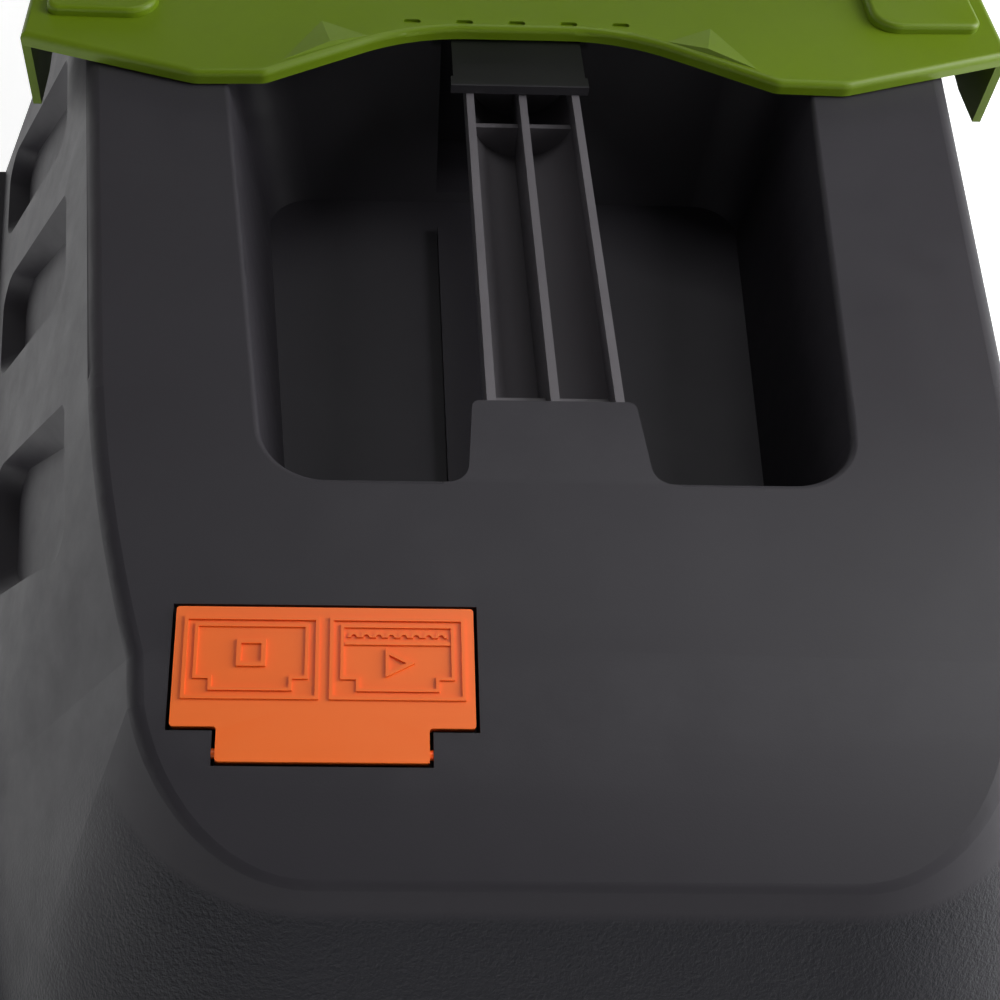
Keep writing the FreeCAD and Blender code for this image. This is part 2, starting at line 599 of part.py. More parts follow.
def rear_flap():
    top = flap_slab(0, FLAP_TOP_Z - FLAP_T, FLAP_TOP_Z)
    rim_zone = flap_slab(0, FLAP_TOP_Z - FLAP_RIM, FLAP_TOP_Z - FLAP_T)
    rim_inner = flap_slab(2.4, FLAP_TOP_Z - FLAP_RIM - 1, FLAP_TOP_Z)
    rim_inner = fuse(rim_inner, box(-FLAP_HALF + 2.4, FLAP_HALF - 2.4, 190, 260, FLAP_TOP_Z - 30, FLAP_TOP_Z))
    skirt = flap_skirt()
    body = fuse(top, rim_zone.cut(rim_inner), skirt, mirror_x(skirt))
    body = fillet_where(body, 2.2, lambda e: mid(e).z > FLAP_TOP_Z - 0.01 and mid(e).y < HINGE_Y - 10)
    pads = []
    for s in (-1, 1):
        corners = [(118, 157.5, 9), (154, 158.5, 4), (153, 216, 6), (118, 216, 9)]
        outline = rounded_wire([(s * x, y, r) for x, y, r in corners], FLAP_TOP_Z - 1)
        solid = Part.Face(outline).extrude(Vector(0, 0, 4.2))
        pads.append(fillet_where(solid, 1.8, lambda e: mid(e).z > FLAP_TOP_Z + 3.1))
    facets = []
    for s in (-1, 1):
        low = FLAP_TOP_Z - 0.5
        base = [Vector(s * 45, 152.5, low), Vector(s * 81, 133.5, low), Vector(s * 65, 163, low)]
        peak = Vector(s * 61, 145, FLAP_TOP_Z + 1.5)
        faces = [Part.Face(Part.makePolygon([base[i], base[(i + 1) % 3], peak, base[i]])) for i in range(3)]
        faces.append(Part.Face(Part.makePolygon(base + base[:1])))
        facets.append(Part.Solid(Part.Shell(faces)))
    body = fuse(body, *pads, *facets)
    dimples = []
    for i in range(5):
        x = (i - 2) * 17.2
        low, high = FLAP_TOP_Z - 0.9, FLAP_TOP_Z + 1
        dimples.append(fuse(box(x - 1.8, x + 1.8, 158.2, 160.4, low, high),
                            rod((x - 1.8, 159.3, low), (x - 1.8, 159.3, high), 1.1),
                            rod((x + 1.8, 159.3, low), (x + 1.8, 159.3, high), 1.1)))
    body = body.cut(dimples)
    body = body.cut([rod((x, 186, 340), (x, 186, 362), 3.0) for x in (-137, 137)])
    bore = HINGE_R + RUN
    length = EAR_OUT - EAR_IN - EAR_T - 2 * CLEAR
    for x0 in (-EAR_OUT + CLEAR, EAR_IN + EAR_T + CLEAR):
        knuckle = fuse(rod((x0, HINGE_Y, HINGE_Z), (x0 + length, HINGE_Y, HINGE_Z), KNUCKLE_R),
                       box(x0, x0 + length, HINGE_Y - 12, HINGE_Y, HINGE_Z + 2.5, FLAP_TOP_Z))
        body = fuse(body, knuckle)
    return body.cut(rod((-165, HINGE_Y, HINGE_Z), (165, HINGE_Y, HINGE_Z), bore))


def flap_hinge_rod():
    end = EAR_OUT + EAR_T
    return rod((-end, HINGE_Y, HINGE_Z), (end, HINGE_Y, HINGE_Z), HINGE_R)


def flap_springs():
    """A torsion spring on each side of the hinge rod."""
    springs = []
    for x0 in (-112, 96):
        helix = Part.makeHelix(2.7, 15.0, HINGE_R + 2.2)
        helix.Placement = Placement(Vector(x0, HINGE_Y, HINGE_Z), Rotation(Vector(0, 1, 0), 90))
        start = helix.Edges[0].valueAt(helix.Edges[0].FirstParameter)
        tangent = helix.Edges[0].tangentAt(helix.Edges[0].FirstParameter)
        profile = Part.Wire(Part.Circle(start, tangent, 0.9).toShape())
        springs.append(Part.Wire(helix.Edges).makePipeShell([profile], True, True))
    return Part.makeCompound(springs)


# ---- deck, rear plate, chute and hood -----------------------------------------------------------
def deck_outline(inset, z):
    r = 6.0
    return rounded_wire([
        (-DECK_HALF_REAR + inset, DECK_REAR_Y + inset, r + 8 - min(inset, 6)),
        (DECK_HALF_REAR - inset, DECK_REAR_Y + inset, r + 8 - min(inset, 6)),
        (DECK_HALF_REAR - inset, 352, 60 + inset),
        (DECK_HALF_MID - inset, 412, 60 - inset),
        (DECK_HALF_MID - inset, 506, 60 - inset),
        (DECK_HALF_NOSE - inset, 572, 60 + inset),
        (DECK_HALF_NOSE - inset, DECK_FRONT_Y - 22 - inset, 34 - inset),
        (60, DECK_FRONT_Y - inset, 160),
        (-60, DECK_FRONT_Y - inset, 160),
        (-DECK_HALF_NOSE + inset, DECK_FRONT_Y - 22 - inset, 34 - inset),
        (-DECK_HALF_NOSE + inset, 572, 60 + inset),
        (-DECK_HALF_MID + inset, 506, 60 - inset),
        (-DECK_HALF_MID + inset, 412, 60 - inset),
        (-DECK_HALF_REAR + inset, 352, 60 + inset)], z)


def deck_shell():
    height = DECK_TOP_Z - DECK_BOTTOM_Z
    outer = Part.Face(deck_outline(0, DECK_BOTTOM_Z)).extrude(Vector(0, 0, height))
    outer = fillet_where(outer, DECK_ROUND, lambda e: mid(e).z > DECK_TOP_Z - 0.1)
    t = DECK_WALL
    inner = Part.Face(deck_outline(t, DECK_BOTTOM_Z - 1)).extrude(Vector(0, 0, height - t + 1))
    inner = fillet_where(inner, DECK_ROUND - t, lambda e: mid(e).z > DECK_TOP_Z - t - 0.1)
    shell = outer.cut(inner)
    ring = tube((0, BLADE_Y, DECK_BOTTOM_Z + 6), (0, BLADE_Y, DECK_TOP_Z - 2), CHAMBER_R + CHAMBER_WALL, CHAMBER_R)
    ring = ring.common(outer)
    ring = ring.cut(box(-CHUTE_HALF + 6, CHUTE_HALF - 6, 200, BLADE_Y - 60, 68, DECK_TOP_Z - 4))
    shell = fuse(shell, ring)
    shell = shell.cut(box(-CHUTE_HALF - 4, CHUTE_HALF + 4, 200, 292, DECK_TOP_Z - 10, DECK_TOP_Z + 10))
    shell = shell.cut(box(-CHUTE_HALF - 4, CHUTE_HALF + 4, 200, 240, 104, DECK_TOP_Z + 10))
    shell = shell.cut(rod((0, BLADE_Y, 150), (0, BLADE_Y, 190), BEARING_R + 8))
    shell = shell.cut([rod((s * 36, BLADE_Y + t2 * 36, 150), (s * 36, BLADE_Y + t2 * 36, 190), 3.1)
                       for s in (-1, 1) for t2 in (-1, 1)])
    for y, z in ((REAR_AXLE_Y, REAR_WHEEL_R), (FRONT_AXLE_Y, FRONT_WHEEL_R)):
        shell = shell.cut([rod((-260, y, z + dz), (260, y, z + dz), AXLE_R + RUN) for dz in (-15, 0, 15)])
    return shell


def plate_outline():
    return [(-136, PLATE_TOP_Z), (-184, BOX_SEAM_Z), (-140, 62), (140, 62), (184, BOX_SEAM_Z),
            (136, PLATE_TOP_Z)]


def rear_plate():
    """The upright plate behind the deck: chute mouth, flap hinge ears and the box's rest."""
    points = [Vector(x, PLATE_Y, z) for x, z in plate_outline()]
    plate = Part.Face(Part.makePolygon(points + points[:1])).extrude(Vector(0, PLATE_T, 0))
    plate = plate.cut(box(-CHUTE_HALF, CHUTE_HALF, PLATE_Y - 5, PLATE_Y + 20, CHUTE_LOW_Z, CHUTE_HIGH_Z))
    notches = [box(x - 9.5, x + 9.5, PLATE_Y - 1, PLATE_Y + PLATE_T + 1, HOOK_Z - CLEAR, PLATE_TOP_Z + 5)
               for x in (-80, 80)]
    plate = plate.cut(notches)
    ears = []
    for x0 in (-EAR_OUT - EAR_T, -EAR_IN - EAR_T, EAR_IN, EAR_OUT):
        base_y = PLATE_Y + PLATE_T - 1
        low = 312 if abs(x0 + EAR_T / 2) < 140 else 298
        ear = prism_x([(base_y, low), (base_y, 338), (HINGE_Y - 4.5, HINGE_Z), (HINGE_Y + 4.5, HINGE_Z),
                       (HINGE_Y + 4.5, HINGE_Z - 9), (base_y + 6, low)], x0, x0 + EAR_T)
        ears.append(fuse(ear, rod((x0, HINGE_Y, HINGE_Z), (x0 + EAR_T, HINGE_Y, HINGE_Z), 5.0)))
    plate = fuse(plate, *ears)
    return plate.cut(rod((-170, HINGE_Y, HINGE_Z), (170, HINGE_Y, HINGE_Z), HINGE_R + 0.02))


def chute_body(grow):
    """The duct's outer form from the blade chamber up to the box, or with grow its clearance."""
    def rect(y, half, z0, z1):
        points = [Vector(-half - grow, y, z0 - grow), Vector(half + grow, y, z0 - grow),
                  Vector(half + grow, y, z1 + grow), Vector(-half - grow, y, z1 + grow)]
        return Part.makePolygon(points + points[:1])
    return loft(rect(PLATE_Y + PLATE_T + 0.05, CHUTE_HALF - 0.5, CHUTE_LOW_Z, CHUTE_HIGH_Z),
                rect(283.0, 106, 100, 164))


def chute_duct():
    return chute_body(0).cut(chute_body(-CHUTE_WALL))


def on_hood_top(edge, body):
    """True for an edge between the hood's side and its top."""
    t = edge.tangentAt((edge.FirstParameter + edge.LastParameter) / 2)
    leans_like_side = abs(t.z) > 0.86
    across_top = abs(t.x) > 0.999 and mid(edge).y < HOOD_FRONT_Y - 60
    return not leans_like_side and not across_top


def hood_body(offset):
    low_z, high_z = DECK_TOP_Z, HOOD_TOP_Z + 12
    rear = DECK_REAR_Y - 1.5
    low = trapezoid(HOOD_HALF_LOW - 14 - offset, HOOD_HALF_LOW - offset, HOOD_FRONT_Y - offset, rear + offset,
                    74 - offset, 14 - offset, low_z)
    high = trapezoid(HOOD_HALF_HIGH - 16 - offset, HOOD_HALF_HIGH - offset, HOOD_FRONT_Y - 84 - offset,
                     rear + offset, 60 - offset, 14 - offset, high_z)
    sink = offset * 1.08
    top = HOOD_TOP_Z - sink
    side = rounded_wire([(rear - 20, top - 6, 0), (290, top, 160),
                         (424, top - 29, 400), (556, top - 80, 260), (672, top - 188, 0),
                         (672, low_z - 60, 0), (rear - 20, low_z - 60, 0)], 0)
    slab = Part.Face(side).extrude(Vector(0, 0, 600))
    slab = placed(slab, Placement(Vector(-300, 0, 0), Rotation(Vector(0, 1, 0), Vector(0, 0, 1), Vector(1, 0, 0))))
    body = loft(low, high).common(slab)
    return fillet_where(body, HOOD_CREASE_R - offset, lambda e: mid(e).y > rear + 1 and mid(e).z > low_z + 1
                        and on_hood_top(e, body))


def bay_place():
    """The battery bay's own frame: z out of the hood's sloping top."""
    return Placement(Vector(0, PACK_Y, HOOD_TOP_Z - 13), Rotation(Vector(1, 0, 0), BAY_TILT))


def motor_hood():
    shell = hood_body(0).cut(hood_body(HOOD_WALL))
    bay_cut = box(-PACK_HALF_W - BAY_WALL - 1, PACK_HALF_W + BAY_WALL + 1, -PACK_L / 2 - BAY_WALL - 1,
                  PACK_L / 2 + BAY_WALL + 1, -40, 60)
    shell = shell.cut(placed(bay_cut, bay_place()))
    key_cut = box(67.9, 84.1, -14.1, 14.1, -31, 30)
    shell = shell.cut(placed(key_cut, bay_place()))
    vents = []
    for i in range(6):
        y = 470 + i * 17
        vents.append(prism_x([(y, 196), (y + 7, 196), (y - 5, 228 - 2 * i), (y - 12, 228 - 2 * i)], -200, 200))
    shell = shell.cut([v.cut(box(-100, 100, 300, 700, 100, 400)) for v in vents])
    opening = box(-CHUTE_HALF - 3, CHUTE_HALF + 3, 200, DECK_REAR_Y + 4, DECK_TOP_Z - 5, CHUTE_HIGH_Z + 4)
    start, end = cable_entry()
    return shell.cut([opening, chute_body(0.2), rod(start, end, CABLE_R + 0.05)])


def battery_bay():
    w = BAY_WALL
    depth = PACK_H - PACK_PROUD
    tray = box(-PACK_HALF_W - w - 0.5, PACK_HALF_W + w + 0.5, -PACK_L / 2 - w - 0.5, PACK_L / 2 + w + 0.5,
               -depth - w - 0.5, 1.5)
    tray = tray.cut(box(-PACK_HALF_W - 0.5, PACK_HALF_W + 0.5, -PACK_L / 2 - 0.5, PACK_L / 2 + 0.5,
                        -depth - 0.5, 20))
    return placed(tray, bay_place())


def battery_terminals():
    depth = PACK_H - PACK_PROUD
    base = box(-24, 24, PACK_L / 2 - 26, PACK_L / 2 - 18, -depth - 0.5, -depth + 3)
    blades = [box(x - 0.6, x + 0.6, PACK_L / 2 - 26, PACK_L / 2 - 18, -depth + 3, -depth + 12)
              for x in (-18, -6, 6, 18)]
    return placed(fuse(base, *blades), bay_place())


def battery_pack():
    depth = PACK_H - PACK_PROUD
    pack = box(-PACK_HALF_W, PACK_HALF_W, -PACK_L / 2, PACK_L / 2, -depth, PACK_PROUD)
    pack = fillet_where(pack, 6.0, lambda e: abs(e.tangentAt(e.FirstParameter).z) > 0.9)
    pack = fillet_where(pack, 4.0, lambda e: mid(e).z > PACK_PROUD - 0.1)
    pack = pack.cut(box(-28, 28, PACK_L / 2 - 32, PACK_L / 2 - 12, -depth - 1, -depth + 14))
    pack = pack.cut(box(-21, 21, -PACK_L / 2 + 12, -PACK_L / 2 + 34, PACK_PROUD - 6, PACK_PROUD + 1))
    grooves = [box(-30, 30, y, y + 3, PACK_PROUD - 1.2, PACK_PROUD + 1) for y in (8, 16, 24)]
    return placed(pack.cut(grooves), bay_place())


def battery_release():
    button = box(-20.4, 20.4, -PACK_L / 2 + 12.6, -PACK_L / 2 + 33.4, PACK_PROUD - 2.2, PACK_PROUD + 1.6)
    button = fillet_where(button, 1.2, lambda e: mid(e).z > PACK_PROUD + 1.5)
    return placed(button, bay_place())


def safety_key():
    shank = box(72, 80, -5, 5, -22, 4)
    head = box(70.5, 81.5, -11, 11, 3.5, 20)
    head = fillet_where(head, 3.0, lambda e: abs(e.tangentAt(e.FirstParameter).x) > 0.9)
    return placed(fuse(shank, head), bay_place())


def key_socket():
    body = box(68, 84, -14, 14, -30, 1.2)
    return placed(body.cut(box(71.6, 80.4, -5.4, 5.4, -23, 10)), bay_place())


def controller_board():
    board = box(-62, 62, 536, 590, DECK_TOP_Z + 8, DECK_TOP_Z + 9.6)
    legs = [rod((x, y, DECK_TOP_Z + 0.02), (x, y, DECK_TOP_Z + 8.5), 3) for x in (-56, 56) for y in (542, 584)]
    caps = [rod((x, 556, DECK_TOP_Z + 9.6), (x, 556, DECK_TOP_Z + 27), 7) for x in (-44, -26, -8)]
    chips = [box(x, x + 9, 572, 584, DECK_TOP_Z + 9.6, DECK_TOP_Z + 13) for x in (-46, -30, -14, 2, 18, 34)]
    fins = [box(x, x + 1.6, 540, 568, DECK_TOP_Z + 12, DECK_TOP_Z + 28) for x in range(8, 51, 7)]
    sink = box(8, 52, 540, 568, DECK_TOP_Z + 9.5, DECK_TOP_Z + 13)
    return fuse(board, sink, *legs, *caps, *chips, *fins)


# ---- drive --------------------------------------------------------------------------------------
def motor_can():
    z0 = DECK_TOP_Z + 5
    can = rod((0, BLADE_Y, z0), (0, BLADE_Y, z0 + MOTOR_H), MOTOR_R)
    can = can.cut(rod((0, BLADE_Y, z0 - 1), (0, BLADE_Y, z0 + MOTOR_H - 3), MOTOR_R - 3))
    can = fillet_where(can, 3.0, lambda e: mid(e).z > z0 + MOTOR_H - 0.1 and e.Length > 200)
    vents = []
    for i in range(8):
        a = math.radians(45 * i + 22.5)
        x, y = 30 * math.cos(a), BLADE_Y + 30 * math.sin(a)
        vents.append(rod((x, y, z0 + MOTOR_H - 6), (x, y, z0 + MOTOR_H + 2), 5))
    seat = rod((0, BLADE_Y, z0 + MOTOR_H - 12), (0, BLADE_Y, z0 + MOTOR_H - 2), BEARING_R + 3)
    can = fuse(can.cut(vents), seat)
    return can.cut(rod((0, BLADE_Y, z0 + MOTOR_H - 13), (0, BLADE_Y, z0 + MOTOR_H - 4), BEARING_R))


def stator():
    z0 = DECK_TOP_Z + 12
    core = tube((0, BLADE_Y, z0), (0, BLADE_Y, z0 + 30), MOTOR_R - 3.1, 26)
    coils = []
    for i in range(9):
        a = 40 * i
        coil = box(31, 41, -6, 6, -3.5, 33.5)
        coil = fillet_where(coil, 2.0, lambda e: abs(e.tangentAt(e.FirstParameter).x) > 0.9)
        coils.append(placed(coil, Placement(Vector(0, BLADE_Y, z0), Rotation(Vector(0, 0, 1), a))))
    return fuse(core, *coils)


def motor_flange():
    flange = rod((0, BLADE_Y, DECK_TOP_Z), (0, BLADE_Y, DECK_TOP_Z + 5), 60)
    flange = fuse(flange, rod((0, BLADE_Y, DECK_TOP_Z - 14), (0, BLADE_Y, DECK_TOP_Z), BEARING_R + 6))
    flange = flange.cut(rod((0, BLADE_Y, DECK_TOP_Z - 10), (0, BLADE_Y, DECK_TOP_Z + 6), BEARING_R))
    flange = flange.cut(rod((0, BLADE_Y, DECK_TOP_Z - 20), (0, BLADE_Y, DECK_TOP_Z + 6), SHAFT_R + 4))
    return flange.cut([rod((s * 36, BLADE_Y + t * 36, DECK_TOP_Z - 5), (s * 36, BLADE_Y + t * 36, DECK_TOP_Z + 8), 2.6)
                       for s in (-1, 1) for t in (-1, 1)])


def motor_screws():
    screws = []
    for s in (-1, 1):
        for t in (-1, 1):
            x, y = s * 36, BLADE_Y + t * 36
            screws.append(fuse(rod((x, y, DECK_TOP_Z - 5), (x, y, DECK_TOP_Z + 4.9), 2.5),
                               rod((x, y, DECK_TOP_Z - 8), (x, y, DECK_TOP_Z - DECK_WALL - 0.05), 5)))
    return Part.makeCompound(screws)


def shaft_bearings():
    lower = tube((0, BLADE_Y, DECK_TOP_Z - 9.9), (0, BLADE_Y, DECK_TOP_Z - 0.5), BEARING_R - 0.02, SHAFT_R + RUN)
    top_z = DECK_TOP_Z + 5 + MOTOR_H - 4.1
    upper = tube((0, BLADE_Y, top_z - 8), (0, BLADE_Y, top_z), BEARING_R - 0.02, SHAFT_R + RUN)
    return Part.makeCompound([lower, upper])


def motor_shaft():
    """Shaft and rotor in one piece, with a flat on the blade end."""
    shaft = rod((0, BLADE_Y, BLADE_Z + 6), (0, BLADE_Y, DECK_TOP_Z + MOTOR_H - 0.5), SHAFT_R)
    rotor = rod((0, BLADE_Y, DECK_TOP_Z + 13), (0, BLADE_Y, DECK_TOP_Z + 41), 25)
    shaft = fuse(shaft, rotor)
    return shaft.cut(rod((0, BLADE_Y, BLADE_Z + 5), (0, BLADE_Y, BLADE_Z + 26), 3.1))


def blade_holder():
    """Fan hub that clamps the blade, with eight cooling vanes."""
    hub = rod((0, BLADE_Y, BLADE_Z + 3.1), (0, BLADE_Y, BLADE_Z + 40), 15)
    disc = rod((0, BLADE_Y, BLADE_Z + 34), (0, BLADE_Y, BLADE_Z + 38), 62)
    vanes = []
    for i in range(8):
        vane = box(12, 60, -1.2, 1.2, BLADE_Z + 37, BLADE_Z + 50)
        vanes.append(placed(vane, Placement(Vector(0, BLADE_Y, 0), Rotation(Vector(0, 0, 1), 45 * i))))
    holder = fuse(hub, disc, *vanes)
    holder = holder.cut(rod((0, BLADE_Y, BLADE_Z), (0, BLADE_Y, BLADE_Z + 60), 3.1))
    return holder.cut(rod((0, BLADE_Y, BLADE_Z + 6), (0, BLADE_Y, BLADE_Z + 60), SHAFT_R + 0.02))


def cutting_blade():
    blank = [(-BLADE_R + 8, -BLADE_W / 2), (BLADE_R, -BLADE_W / 2), (BLADE_R, BLADE_W / 2 - 12),
             (BLADE_R - 8, BLADE_W / 2), (-BLADE_R, BLADE_W / 2), (-BLADE_R, -BLADE_W / 2 + 12)]
    blade = prism_z(blank, 0, BLADE_T).common(rod((0, 0, -1), (0, 0, 5), BLADE_R))
    wings = []
    for a in (0, 180):
        wing = prism_x([(BLADE_W / 2 - 14, BLADE_T - 0.5), (BLADE_W / 2 - 2, BLADE_T + 9),
                        (BLADE_W / 2, BLADE_T + 8), (BLADE_W / 2 - 10, BLADE_T - 0.5)], -BLADE_R + 14, -BLADE_R + 62)
        wings.append(placed(wing, Placement(Vector(0, 0, 0), Rotation(Vector(0, 0, 1), a))))
    edges = []
    for a in (0, 180):
        bevel = prism_x([(-BLADE_W / 2 - 1, -0.1), (-BLADE_W / 2 + 6, BLADE_T + 0.1), (-BLADE_W / 2 - 1, BLADE_T + 0.1)],
                        -BLADE_R - 1, -BLADE_R + 66)
        edges.append(placed(bevel, Placement(Vector(0, 0, 0), Rotation(Vector(0, 0, 1), a))))
    blade = fuse(blade, *wings).cut(edges).cut(rod((0, 0, -1), (0, 0, 10), 5.2))
    blade.translate(Vector(0, BLADE_Y, BLADE_Z))
    return blade


def blade_bolt():
    head = prism_z([(8 * math.cos(math.radians(60 * i)), 8 * math.sin(math.radians(60 * i))) for i in range(6)],
                   BLADE_Z - 8, BLADE_Z - 2.1)
    head.translate(Vector(0, BLADE_Y, 0))
    return fuse(head, rod((0, BLADE_Y, BLADE_Z - 2.2), (0, BLADE_Y, BLADE_Z + 3), 4.9),
                rod((0, BLADE_Y, BLADE_Z - 2.2), (0, BLADE_Y, BLADE_Z + 25), 3.05))


def blade_washer():
    return tube((0, BLADE_Y, BLADE_Z - 2.05), (0, BLADE_Y, BLADE_Z - 0.05), 13, 4.95)


# ---- wheels -------------------------------------------------------------------------------------
def axle(y, z, half):
    bar = rod((-half, y, z), (half, y, z), AXLE_R)
    clips = [rod((s * half - 1.5, y, z), (s * half + 1.5, y, z), AXLE_R + 3) for s in (-1, 1)]
    return fuse(bar, *clips)


def wheel_x(deck_half):
    return deck_half + WHEEL_GAP


def tyre(side, y, z, radius, width, deck_half):
    x0 = wheel_x(deck_half)
    ring = tube((x0, y, z), (x0 + width, y, z), radius, radius - TYRE_T)
    ring = fillet_where(ring, 4.5, lambda e: e.Length > 2 * math.pi * (radius - 1))
    lugs = []
    count = 24
    for i in range(count):
        a = 360.0 * i / count
        for x_low, x_high, turn in ((x0 + 3, x0 + width * 0.46, 0.0), (x0 + width * 0.54, x0 + width - 3, 180.0 / count)):
            groove = box(x_low, x_high, -1.6, 1.6, radius - 2.2, radius + 2)
            groove.Placement = Placement(Vector(0, y, z), Rotation(Vector(1, 0, 0), a + turn))
            lugs.append(groove)
    ring = ring.cut(lugs)
    return ring if side > 0 else mirror_x(ring)


def rim(side, y, z, radius, width, deck_half):
    x0 = wheel_x(deck_half)
    inner_r = radius - TYRE_T - 0.05
    body = tube((x0 + 1, y, z), (x0 + width - 1, y, z), inner_r, inner_r - 4)
    disc = rod((x0 + width * 0.55, y, z), (x0 + width * 0.55 + 3.5, y, z), inner_r - 3)
    hub = rod((x0, y, z), (x0 + width - 2, y, z), 16)
    ribs = []
    for i in range(7):
        rib = box(x0 + 6, x0 + width - 5, -1.8, 1.8, 14, inner_r - 2)
        rib.Placement = Placement(Vector(0, y, z), Rotation(Vector(1, 0, 0), 360.0 * i / 7))
        ribs.append(rib)
    body = fuse(body, disc, hub, *ribs)
    body = body.cut(rod((x0 - 1, y, z), (x0 + width - 8, y, z), AXLE_R + RUN))
    body = body.cut(rod((x0 + width - 9, y, z), (x0 + width, y, z), AXLE_R + 5))
    return body if side > 0 else mirror_x(body)


def wheel_cap(side, y, z, width, deck_half):
    x0 = wheel_x(deck_half) + width
    cap = rod((x0 - 2, y, z), (x0 + 2.2, y, z), 24)
    cap = fillet_where(cap, 1.6, lambda e: mid(e).x > x0 + 2.1)
    cap = fuse(cap, tube((x0 - 5, y, z), (x0 - 1, y, z), 9.8, 8.7))
    return cap if side > 0 else mirror_x(cap)


# ---- push handle --------------------------------------------------------------------------------
def lower_tubes():
    bar = tube(along_handle(0, LOWER_X), along_handle(LOWER_LEN, LOWER_X), TUBE_R, TUBE_R - TUBE_WALL)
    pivot = along_handle(LOWER_LEN - FOLD_BACK, 0)
    holes = [rod((150, pivot[1], pivot[2]), (230, pivot[1], pivot[2]), BOLT_R + 0.02)]
    for distance in (14, 44):
        foot = along_handle(distance, 0)
        holes.append(rod((150, foot[1], foot[2]), (230, foot[1], foot[2]), 3.1))
    return both_sides(bar.cut(holes))


def handle_brackets():
    """A moulded foot on each flank of the hood that cups the lower tube."""
    low, high = along_handle(-8, LOWER_X), along_handle(56, LOWER_X)
    cup = rod(low, high, TUBE_R + 4)
    z0 = DECK_TOP_Z + 0.05
    root = HANDLE_ROOT[0]
    arm = prism_x([(root - 23, z0), (root + 41, z0), (root + 27, 214), (low[1] + 8, low[2] + 6),
                   (high[1] + 4, high[2] - 4), (high[1] - 10, high[2] - 16), (root - 29, 214)], 100, LOWER_X)
    body = fuse(cup, arm).cut(hood_body(-0.05))
    body = body.cut(rod(along_handle(0, LOWER_X), along_handle(LOWER_LEN, LOWER_X), TUBE_R + 0.05))
    holes = [along_handle(d, 0) for d in (14, 44)]
    return both_sides(body.cut([rod((130, h[1], h[2]), (240, h[1], h[2]), 3.1) for h in holes]))


def bracket_bolts():
    bolts = []
    for side in (-1, 1):
        for d in (14, 44):
            p = along_handle(d, 0)
            bolts.append(fuse(rod((side * (LOWER_X - TUBE_R - 3.5), p[1], p[2]), (side * (LOWER_X + TUBE_R + 4.1), p[1], p[2]), 3.0),
                              rod((side * (LOWER_X + TUBE_R + 4.05), p[1], p[2]), (side * (LOWER_X + TUBE_R + 8), p[1], p[2]), 6.0)))
    return Part.makeCompound(bolts)


def fold_pivot():
    return along_handle(LOWER_LEN - FOLD_BACK, 0)


def along_upper(distance, x, drop=0.0):
    return along_handle(LOWER_LEN - FOLD_BACK + distance, x, drop)


def upper_handle_bar():
    points = [along_upper(-16, -UPPER_X), along_upper(UPPER_LEN, -UPPER_X), along_upper(UPPER_LEN, UPPER_X),
              along_upper(-16, UPPER_X)]
    bar = round_bar(points, TUBE_R, TUBE_BEND_R).cut(round_bar(points, TUBE_R - TUBE_WALL, TUBE_BEND_R))
    pivot = fold_pivot()
    bar = bar.cut(rod((-230, pivot[1], pivot[2]), (230, pivot[1], pivot[2]), BOLT_R + RUN))
    bail = along_upper(BAIL_ALONG, 0)
    return bar.cut([rod((s * 140, bail[1], bail[2]), (s * (UPPER_X + 6), bail[1], bail[2]), 3.0) for s in (-1, 1)])


def fold_bolts():
    pivot = fold_pivot()
    bolts = []
    for side in (-1, 1):
        inner, outer = UPPER_X - TUBE_R - 0.1, LOWER_X + TUBE_R + 0.1
        bolts.append(fuse(rod((side * (inner - 5), pivot[1], pivot[2]), (side * (outer + 17), pivot[1], pivot[2]), BOLT_R),
                          rod((side * (inner - 5), pivot[1], pivot[2]), (side * inner, pivot[1], pivot[2]), 8)))
    return Part.makeCompound(bolts)


def quick_lever(side):
    """Cam lever on the fold bolt's outer end, lying back along the tube."""
    pivot = fold_pivot()
    x0 = LOWER_X + TUBE_R + 0.5
    a = math.radians(HANDLE_ANGLE)
    direction = Vector(0, math.cos(a), -math.sin(a))
    start = Vector(0, pivot[1], pivot[2])
    end = start + direction * 62
    head = rod((x0, start.y, start.z), (x0 + 13, start.y, start.z), 11)
    arm = rod((x0 + 4, 0, 0), (x0 + 13, 0, 0), 7)
    arm_end = arm.copy()
    arm_end.translate(Vector(0, end.y, end.z))
    wide = Vector(0, direction.z, -direction.y) * 7
    quad = [start + wide, end + wide, end - wide, start - wide]
    blade = prism_x([(p.y, p.z) for p in quad], x0 + 4, x0 + 11)
    lever = fuse(head, arm_end.common(box(x0 + 4, x0 + 11, -900, 900, 0, 1200)), blade)
    lever = lever.cut(rod((x0 - 1, start.y, start.z), (x0 + 14, start.y, start.z), BOLT_R + RUN))
    return lever if side > 0 else mirror_x(lever)


def foam_grip():
    p = along_upper(UPPER_LEN, 0)
    x0, x1 = -UPPER_X + TUBE_BEND_R + 6, 28
    return tube((x0, p[1], p[2]), (x1, p[1], p[2]), TUBE_R + 4, TUBE_R + 0.05)


def switch_frame():
    """The switch box's own frame: z up along the handle, y out of its upper side."""
    p = along_upper(UPPER_LEN, 70)
    return Placement(Vector(*p), Rotation(Vector(1, 0, 0), 90 - HANDLE_ANGLE))


def switch_box():
    body = box(-36, 36, -14, 34, -54, 20)
    body = fillet_where(body, 9.0, lambda e: e.Length > 30)
    body = body.cut(rod((-50, 0, 0), (50, 0, 0), TUBE_R + 0.05))
    body = body.cut(box(-14.4, 14.4, 20, 40, -42.4, -17.6))
    return placed(body, switch_frame())


def start_button():
    button = box(-14, 14, 24.5, 38, -42, -18)
    button = fillet_where(button, 3.0, lambda e: mid(e).y > 37.9)
    return placed(button, switch_frame())


def bail_pivot():
    return along_upper(BAIL_ALONG, 0)


